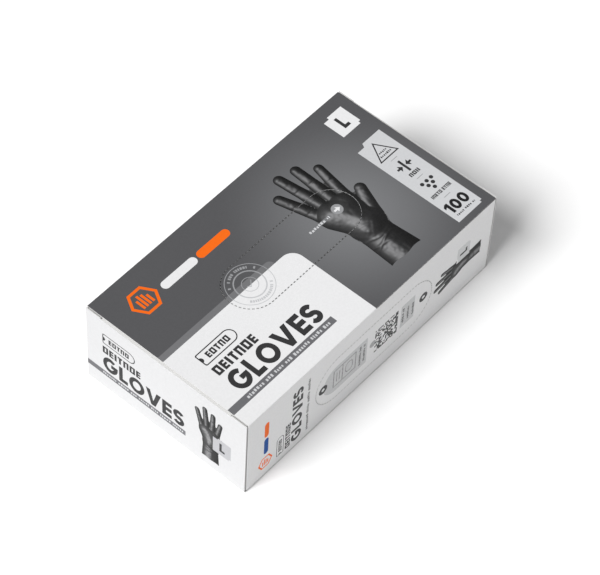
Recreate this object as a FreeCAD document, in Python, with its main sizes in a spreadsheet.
import FreeCAD, Part
import math
import os
import Sketcher
from FreeCAD import Placement, Rotation, Vector

# Paperboard dispenser carton that holds 100 disposable gloves.
# Frame: X along the length, front long side towards -Y, Z up, origin in the middle of the base.
# The carton is one folded board.  Every panel and flap is a part of its own so that each
# crease can fold.  The end closures stand a little way off the ends of the four long panels.

doc = FreeCAD.newDocument("glove_box")

# ---------------------------------------------------------------- driving dimensions (mm)
SHEET_ROWS = [
    # outside of the closed carton
    ("box_length", 239.0),
    ("box_width", 132.0),
    ("box_height", 71.0),
    ("board", 0.6),
    ("crease_radius", 0.5),
    # gaps left by folding
    ("end_gap", 0.9),
    ("raw_edge_inset", 0.3),
    ("closure_top_gap", 0.3),
    ("tuck_top_gap", 0.4),
    # tuck tab and its slit locks
    ("tuck_length", 15.0),
    ("tuck_side_gap", 1.0),
    ("tuck_corner", 9.0),
    ("slit_lock", 12.5),
    ("slit_width", 0.8),
    # dust flaps
    ("dust_length", 48.0),
    ("dust_shoulder", 12.5),
    ("dust_shoulder_drop", 2.5),
    ("dust_top_drop", 2.0),
    ("dust_bottom_rise", 18.5),
    ("dust_bottom_gap", 0.4),
    ("dust_top_gap", 0.5),
    ("dust_tip_corner", 6.0),
    # perforated opening in the top
    ("top_cut_length", 115.0),
    ("top_cut_width", 37.5),
    ("top_cut_y", 3.0),
    # perforated opening in the front
    ("front_cut_length", 113.0),
    ("front_cut_width", 42.0),
    ("front_cut_x", 1.5),
    ("front_cut_z", 34.3),
    # perforation
    ("kerf", 0.35),
    ("tie_width", 1.2),
    ("tie_root", 0.3),
    ("tie_clearance", 0.05),
    # glued seam
    ("glue_flap_width", 14.0),
    ("glue_flap_end_gap", 3.0),
    ("glue_film", 0.1),
    ("glue_margin", 3.0),
    # gloves
    ("glove_length", 222.0),
    ("glove_cuff_half", 47.0),
    ("glove_palm_half", 54.0),
    ("glove_tip_half", 30.0),
    ("glove_cuff_length", 62.0),
    ("glove_palm_length", 128.0),
    ("glove_knuckle_length", 186.0),
    ("glove_corner", 10.0),
    ("glove_sheet", 0.45),
    ("glove_pitch", 0.66),
    ("glove_floor_gap", 0.4),
]

sheet = doc.addObject("Spreadsheet::Sheet", "sizes")
for row, (alias, value) in enumerate(SHEET_ROWS, start=1):
    sheet.set("A%d" % row, alias)
    sheet.set("B%d" % row, str(value))
    sheet.setAlias("B%d" % row, alias)
doc.recompute()

GLOVES_PER_GROUP = 7
GLOVE_GROUP_PAIRS = 7
PERFORATIONS = {
    "top": {"straight": 27, "arc": 21},
    "front": {"straight": 25, "arc": 23},
}

TOLERANCE = 1e-6
SHORTEST_EDGE = 0.01
LEAST_CUT_VOLUME = 1.0

parts = []


# ---------------------------------------------------------------- small helpers
def cell(expression):
    """Full expression text with every sheet alias given its sheet name."""
    text = expression
    for alias, _ in sorted(SHEET_ROWS, key=lambda entry: -len(entry[0])):
        text = text.replace(alias, "\x01" + alias[::-1] + "\x02")
    pieces = text.split("\x01")
    result = pieces[0]
    for piece in pieces[1:]:
        backwards, rest = piece.split("\x02", 1)
        result += "sizes." + backwards[::-1] + rest
    return result


def size(expression):
    """Present value of an expression of sheet aliases, as a plain number."""
    value = sheet.evalExpression(cell(expression))
    return float(getattr(value, "Value", value))


def bind(target, prop, expression):
    target.setExpression(prop, cell(expression))


def new_body(label):
    body = doc.addObject("PartDesign::Body", label)
    body.Label = label
    parts.append(body)
    return body


def place(body, x="0", y="0", z="0", turn=0.0):
    """Stand the body at a point given by expressions, turned about Z by whole degrees."""
    body.Placement = Placement(Vector(size(x), size(y), size(z)), Rotation(Vector(0, 0, 1), turn))
    bind(body, "Placement.Base.x", x)
    bind(body, "Placement.Base.y", y)
    bind(body, "Placement.Base.z", z)


def new_sketch(body, name, role):
    """Sketch on one of the body's own origin planes (XY_Plane, XZ_Plane or YZ_Plane)."""
    sketch = body.newObject("Sketcher::SketchObject", name)
    plane = [entry for entry in body.Origin.OriginFeatures if entry.Role == role][0]
    sketch.AttachmentSupport = (plane, [""])
    sketch.MapMode = "FlatFace"
    return sketch


def draw_outline(sketch, corners):
    """Closed outline of straight lines; every corner is bound to a pair of expressions."""
    points = [Vector(size(x), size(y), 0) for x, y in corners]
    count = len(points)
    for index in range(count):
        following = points[(index + 1) % count]
        sketch.addGeometry(Part.LineSegment(points[index], following), False)
    for index in range(count):
        sketch.addConstraint(Sketcher.Constraint("Coincident", index, 2, (index + 1) % count, 1))
    for index, (x, y) in enumerate(corners):
        for kind, text, value in (("DistanceX", x, points[index].x), ("DistanceY", y, points[index].y)):
            number = sketch.addConstraint(Sketcher.Constraint(kind, -1, 1, index, 1, value))
            bind(sketch, "Constraints[%d]" % number, text)


def draw_rectangle(sketch, left, right, low, high):
    draw_outline(sketch, [(left, low), (right, low), (right, high), (left, high)])


def draw_stadium(sketch, length, width, centre_x, centre_y):
    """Two half circles joined by straight lines, lying along the sketch's first axis."""
    reach = size("(%s)/2-(%s)/2" % (length, width))
    radius = size("(%s)/2" % width)
    middle = Vector(size(centre_x), size(centre_y), 0)
    right_centre = middle + Vector(reach, 0, 0)
    left_centre = middle - Vector(reach, 0, 0)
    up = Vector(0, radius, 0)
    quarter = math.pi / 2
    right_circle = Part.Circle(right_centre, Vector(0, 0, 1), radius)
    left_circle = Part.Circle(left_centre, Vector(0, 0, 1), radius)
    right = sketch.addGeometry(Part.ArcOfCircle(right_circle, -quarter, quarter), False)
    left = sketch.addGeometry(Part.ArcOfCircle(left_circle, quarter, 3 * quarter), False)
    upper = sketch.addGeometry(Part.LineSegment(right_centre + up, left_centre + up), False)
    lower = sketch.addGeometry(Part.LineSegment(left_centre - up, right_centre - up), False)
    sketch.addConstraint(Sketcher.Constraint("Tangent", right, 2, upper, 1))
    sketch.addConstraint(Sketcher.Constraint("Tangent", upper, 2, left, 1))
    sketch.addConstraint(Sketcher.Constraint("Tangent", left, 2, lower, 1))
    sketch.addConstraint(Sketcher.Constraint("Tangent", lower, 2, right, 1))
    sketch.addConstraint(Sketcher.Constraint("Equal", right, left))
    number = sketch.addConstraint(Sketcher.Constraint("Radius", right, radius))
    bind(sketch, "Constraints[%d]" % number, "(%s)/2" % width)
    for arc, sign, centre in ((right, "+", right_centre), (left, "-", left_centre)):
        text_x = "(%s)%s((%s)/2-(%s)/2)" % (centre_x, sign, length, width)
        number = sketch.addConstraint(Sketcher.Constraint("DistanceX", -1, 1, arc, 3, centre.x))
        bind(sketch, "Constraints[%d]" % number, text_x)
        number = sketch.addConstraint(Sketcher.Constraint("DistanceY", -1, 1, arc, 3, centre.y))
        bind(sketch, "Constraints[%d]" % number, centre_y)


def pad(body, sketch, name, length):
    feature = body.newObject("PartDesign::Pad", name)
    feature.Profile = sketch
    bind(feature, "Length", length)
    sketch.Visibility = False
    doc.recompute()
    return feature


def cut_through(body, sketch, name):
    """Pocket both ways through the board; stops with an error if nothing is taken away."""
    before = body.Shape.Volume
    feature = body.newObject("PartDesign::Pocket", name)
    feature.Profile = sketch
    feature.Type = "ThroughAll"
    feature.Midplane = True
    sketch.Visibility = False
    doc.recompute()
    if body.Shape.Volume > before - LEAST_CUT_VOLUME:
        raise RuntimeError("%s cuts nothing" % name)
    return feature


def edges_where(feature, test):
    names = []
    for index, edge in enumerate(feature.Shape.Edges, start=1):
        if test(edge):
            names.append("Edge%d" % index)
    return names


def runs_along(edge, axis):
    box = edge.BoundBox
    spans = (box.XLength, box.YLength, box.ZLength)
    straight = all(spans[other] < TOLERANCE for other in range(3) if other != axis)
    return straight and spans[axis] > SHORTEST_EDGE


def round_edges(body, feature, name, radius, test):
    fillet = body.newObject("PartDesign::Fillet", name)
    fillet.Base = (feature, edges_where(feature, test))
    bind(fillet, "Radius", radius)
    doc.recompute()
    return fillet


# ---------------------------------------------------------------- fixed panels
def flat_panel_with_creases(label, half_length, base_z, outer_is_top):
    """Top or bottom board; its two long outer corners are rounded by the creases."""
    body = new_body(label)
    outline = new_sketch(body, label + "_outline", "XY_Plane")
    draw_rectangle(outline, "-(%s)" % half_length, half_length, "-box_width/2", "box_width/2")
    sheet_of_board = pad(body, outline, label + "_board", "board")
    level = size("board") if outer_is_top else 0.0
    round_edges(
        body, sheet_of_board, label + "_creases", "crease_radius",
        lambda edge: runs_along(edge, 0) and abs(edge.BoundBox.ZMin - level) < TOLERANCE,
    )
    place(body, z=base_z)
    return body


def make_top_panel():
    body = flat_panel_with_creases("top_panel", "box_length/2-board-end_gap", "box_height-board", True)
    opening = new_sketch(body, "top_opening", "XY_Plane")
    draw_stadium(opening, "top_cut_length", "top_cut_width", "0", "top_cut_y")
    cut_through(body, opening, "top_opening_cut")


def make_bottom_panel():
    flat_panel_with_creases("bottom_panel", "box_length/2-board", "0", False)


def long_side_panel(label):
    """Upright board between the top and the bottom, ending where the dust flaps fold."""
    body = new_body(label)
    outline = new_sketch(body, label + "_outline", "XZ_Plane")
    half = "box_length/2-2*board-end_gap"
    draw_rectangle(outline, "-(%s)" % half, half, "board", "box_height-board")
    pad(body, outline, label + "_board", "board")
    return body


def make_front_side_panel():
    body = long_side_panel("front_side_panel")
    opening = new_sketch(body, "front_opening", "XZ_Plane")
    draw_stadium(opening, "front_cut_length", "front_cut_width", "front_cut_x", "front_cut_z")
    cut_through(body, opening, "front_opening_cut")
    place(body, y="-box_width/2+board")


def make_rear_side_panel():
    body = long_side_panel("rear_side_panel")
    place(body, y="box_width/2")


def make_glue_flap():
    """Flap along the rear of the base, standing inside the rear board, ends cut at a slant."""
    body = new_body("glue_flap")
    outline = new_sketch(body, "glue_flap_outline", "XZ_Plane")
    long_half = "box_length/2-2*board-end_gap-glue_flap_end_gap"
    short_half = long_half + "-glue_flap_width/2"
    top = "board+glue_flap_width"
    draw_outline(outline, [
        ("-(%s)" % long_half, "board"), (long_half, "board"),
        (short_half, top), ("-(%s)" % short_half, top),
    ])
    pad(body, outline, "glue_flap_board", "board")
    place(body, y="box_width/2-board-glue_film")


def make_seam_glue():
    """Thin glue line between the glue flap and the rear board."""
    body = new_body("seam_glue")
    outline = new_sketch(body, "seam_glue_outline", "XZ_Plane")
    half = "box_length/2-2*board-end_gap-glue_flap_end_gap-glue_flap_width"
    low = "board+glue_margin"
    high = "board+glue_flap_width-glue_margin"
    draw_rectangle(outline, "-(%s)" % half, half, low, high)
    pad(body, outline, "seam_glue_film", "glue_film")
    place(body, y="box_width/2-board")


# ---------------------------------------------------------------- end closures
def make_closure_panel(side, end_sign):
    """End board hinged on the base.  Beyond the slit locks its edge stands a little higher."""
    body = new_body(side + "_closure_panel")
    outline = new_sketch(body, side + "_closure_outline", "YZ_Plane")
    half = "box_width/2-raw_edge_inset"
    lock = "box_width/2-slit_lock"
    crease_level = "box_height-board-tuck_top_gap"
    edge_level = "box_height-closure_top_gap"
    draw_outline(outline, [
        ("-(%s)" % half, "board"), (half, "board"),
        (half, edge_level), (lock, edge_level),
        (lock, crease_level), ("-(%s)" % lock, crease_level),
        ("-(%s)" % lock, edge_level), ("-(%s)" % half, edge_level),
    ])
    pad(body, outline, side + "_closure_board", "board")
    place(body, x="-box_length/2" if end_sign < 0 else "box_length/2-board")


def make_tuck_tab(side, end_sign):
    """Tab folded in under the top board, with a slit lock at each end of its crease."""
    body = new_body(side + "_tuck_tab")
    outline = new_sketch(body, side + "_tuck_outline", "XY_Plane")
    half = "box_width/2-board-tuck_side_gap"
    lock = "box_width/2-slit_lock-slit_width"
    draw_outline(outline, [
        ("0", "-(%s)" % lock), ("slit_width", "-(%s)" % lock),
        ("slit_width", "-(%s)" % half), ("tuck_length", "-(%s)" % half),
        ("tuck_length", half), ("slit_width", half),
        ("slit_width", lock), ("0", lock),
    ])
    board = pad(body, outline, side + "_tuck_board", "board")
    leading = size("tuck_length")
    round_edges(
        body, board, side + "_tuck_corners", "tuck_corner",
        lambda edge: runs_along(edge, 2) and abs(edge.BoundBox.XMin - leading) < TOLERANCE,
    )
    level = "box_height-2*board-tuck_top_gap"
    if end_sign < 0:
        place(body, x="-box_length/2+board", z=level)
    else:
        place(body, x="box_length/2-board", z=level, turn=180.0)


def make_dust_flap(label, end_sign, side_sign):
    """Inner flap folded in from a long side: slanted lower edge, shoulder on its upper edge."""
    body = new_body(label)
    outline = new_sketch(body, label + "_outline", "YZ_Plane")
    low = "board+dust_bottom_gap"
    high = "box_height-2*board-tuck_top_gap-dust_top_gap"
    slope_high = high + "-dust_shoulder_drop"
    tip_high = slope_high + "-dust_top_drop"
    draw_outline(outline, [
        ("0", low), ("dust_length", low + "+dust_bottom_rise"),
        ("dust_length", tip_high),
        ("dust_shoulder+dust_shoulder_drop", slope_high),
        ("dust_shoulder", high), ("0", high),
    ])
    board = pad(body, outline, label + "_board", "board")
    tip = size("dust_length")
    round_edges(
        body, board, label + "_tip_corners", "dust_tip_corner",
        lambda edge: runs_along(edge, 0) and abs(edge.BoundBox.YMin - tip) < TOLERANCE,
    )
    if end_sign < 0:
        x = "-box_length/2+board+end_gap" if side_sign < 0 else "-box_length/2+2*board+end_gap"
    else:
        x = "box_length/2-2*board-end_gap" if side_sign < 0 else "box_length/2-board-end_gap"
    y = "-box_width/2+board" if side_sign < 0 else "box_width/2-board"
    place(body, x=x, y=y, turn=0.0 if side_sign < 0 else 180.0)


# ---------------------------------------------------------------- perforated tear-outs
def tie_sketch(body, name, plane, centre_x, centre_y, turn):
    """Sketch whose own origin stands at a point of the rim's plan, turned in its plane."""
    sketch = new_sketch(body, name, plane)
    sketch.AttachmentOffset = Placement(
        Vector(size(centre_x), size(centre_y), 0), Rotation(Vector(0, 0, 1), turn)
    )
    bind(sketch, "AttachmentOffset.Base.x", centre_x)
    bind(sketch, "AttachmentOffset.Base.y", centre_y)
    return sketch


def tie_outline(sketch, width):
    """One uncut bridge that crosses the kerf, drawn on the sketch's first axis."""
    root = "(%s)/2-kerf-tie_root" % width
    end = "(%s)/2-tie_clearance" % width
    draw_rectangle(sketch, root, end, "-tie_width/2", "tie_width/2")


def straight_ties(body, name, plane, cut, side, count):
    """Row of ties along one straight side of the stadium."""
    length, width, centre_x, centre_y = cut
    run = "((%s)-(%s))" % (length, width)
    first = "(%s)-(%s)/2+(%s)/%d" % (centre_x, run, run, 2 * count)
    last = "(%s)+(%s)/2-(%s)/%d" % (centre_x, run, run, 2 * count)
    start = first if side > 0 else last
    sketch = tie_sketch(body, name + "_sketch", plane, start, centre_y, 90.0 * side)
    tie_outline(sketch, width)
    tie = pad(body, sketch, name + "_tie", "board")
    row = body.newObject("PartDesign::LinearPattern", name + "_row")
    row.Originals = [tie]
    row.Direction = (sketch, ["V_Axis"])
    row.Reversed = True
    row.Occurrences = count
    bind(row, "Length", "(%s)*%d/%d" % (run, count - 1, count))
    body.Tip = row
    doc.recompute()


def arc_ties(body, name, plane, cut, side, count):
    """Fan of ties round one rounded end of the stadium."""
    length, width, centre_x, centre_y = cut
    step = 180.0 / count
    centre = "(%s)%s((%s)-(%s))/2" % (centre_x, "+" if side > 0 else "-", length, width)
    first = -90.0 + step / 2 if side > 0 else 90.0 + step / 2
    sketch = tie_sketch(body, name + "_sketch", plane, centre, centre_y, first)
    tie_outline(sketch, width)
    tie = pad(body, sketch, name + "_tie", "board")
    fan = body.newObject("PartDesign::PolarPattern", name + "_fan")
    fan.Originals = [tie]
    fan.Axis = (sketch, ["N_Axis"])
    fan.Occurrences = count
    fan.Angle = 180.0 - step
    body.Tip = fan
    doc.recompute()


def make_tear_out(label, plane, cut, counts):
    """Stadium of board left inside a perforated line, still carrying its ties."""
    length, width, centre_x, centre_y = cut
    body = new_body(label)
    outline = new_sketch(body, label + "_outline", plane)
    draw_stadium(outline, length + "-2*kerf", width + "-2*kerf", centre_x, centre_y)
    pad(body, outline, label + "_board", "board")
    straight_ties(body, label + "_upper", plane, cut, 1, counts["straight"])
    straight_ties(body, label + "_lower", plane, cut, -1, counts["straight"])
    arc_ties(body, label + "_right", plane, cut, 1, counts["arc"])
    arc_ties(body, label + "_left", plane, cut, -1, counts["arc"])
    return body


def make_top_tear_out():
    cut = ("top_cut_length", "top_cut_width", "0", "top_cut_y")
    body = make_tear_out("top_tear_out", "XY_Plane", cut, PERFORATIONS["top"])
    place(body, z="box_height-board")


def make_front_tear_out():
    cut = ("front_cut_length", "front_cut_width", "front_cut_x", "front_cut_z")
    body = make_tear_out("front_tear_out", "XZ_Plane", cut, PERFORATIONS["front"])
    place(body, y="-box_width/2+board")


# ---------------------------------------------------------------- gloves
def glove_outline(sketch):
    """Plan of one flat glove, cuff at the sketch's origin, fingertips along its first axis."""
    lower = [
        ("0", "-glove_cuff_half"),
        ("glove_cuff_length", "-glove_cuff_half"),
        ("glove_palm_length", "-glove_palm_half"),
        ("glove_knuckle_length", "-glove_palm_half"),
        ("glove_length", "-glove_tip_half"),
    ]
    upper = [(x, y[1:]) for x, y in reversed(lower)]
    draw_outline(sketch, lower + upper)


def make_gloves(label, first_layer, count, layer_step, cuff_left):
    """Flat gloves lying one above the other, each a separate solid of the same part."""
    body = new_body(label)
    body.AllowCompound = True
    outline = new_sketch(body, label + "_outline", "XY_Plane")
    glove_outline(outline)
    one = pad(body, outline, label + "_sheet", "glove_sheet")
    rounded = round_edges(
        body, one, label + "_corners", "glove_corner",
        lambda edge: runs_along(edge, 2) and edge.BoundBox.XMin > size("glove_cuff_length") + TOLERANCE,
    )
    if count > 1:
        stack = body.newObject("PartDesign::LinearPattern", label + "_stack")
        stack.TransformMode = "Whole shape"
        upright = [entry for entry in body.Origin.OriginFeatures if entry.Role == "Z_Axis"][0]
        stack.Direction = (upright, [""])
        stack.Occurrences = count
        bind(stack, "Length", "glove_pitch*%d" % (layer_step * (count - 1)))
        body.Tip = stack
        doc.recompute()
    level = "board+glove_floor_gap+glove_pitch*%d" % first_layer
    if cuff_left:
        place(body, x="-glove_length/2", z=level)
    else:
        place(body, x="glove_length/2", z=level, turn=180.0)
    return rounded


def make_all_gloves():
    """Gloves are packed alternately: one cuff to the left, the next cuff to the right."""
    per_pair = 2 * GLOVES_PER_GROUP
    for pair in range(GLOVE_GROUP_PAIRS):
        layer = pair * per_pair
        number = pair + 1
        make_gloves("gloves_cuff_left_%02d" % number, layer, GLOVES_PER_GROUP, 2, True)
        make_gloves("gloves_cuff_right_%02d" % number, layer + 1, GLOVES_PER_GROUP, 2, False)
    packed = GLOVE_GROUP_PAIRS * per_pair
    make_gloves("second_glove", packed, 1, 1, True)
    make_gloves("top_glove", packed + 1, 1, 1, False)


# ---------------------------------------------------------------- build
make_top_panel()
make_front_side_panel()
make_bottom_panel()
make_rear_side_panel()
make_glue_flap()
make_seam_glue()
for side, end_sign in (("left", -1), ("right", 1)):
    make_closure_panel(side, end_sign)
    make_tuck_tab(side, end_sign)
    make_dust_flap(side + "_front_dust_flap", end_sign, -1)
    make_dust_flap(side + "_rear_dust_flap", end_sign, 1)
make_top_tear_out()
make_front_tear_out()
make_all_gloves()
doc.recompute()

for entry in doc.Objects:
    if "Invalid" in entry.State or "Error" in entry.State:
        raise RuntimeError("%s is in state %s" % (entry.Name, entry.State))

os.makedirs("parts", exist_ok=True)
for part in parts:
    if part.Shape.isNull() or not part.Shape.isValid():
        raise RuntimeError("%s has no valid shape" % part.Label)
    part.Shape.exportStep("parts/%s.step" % part.Label)
    print(part.Label, len(part.Shape.Solids), round(part.Shape.Volume, 1))
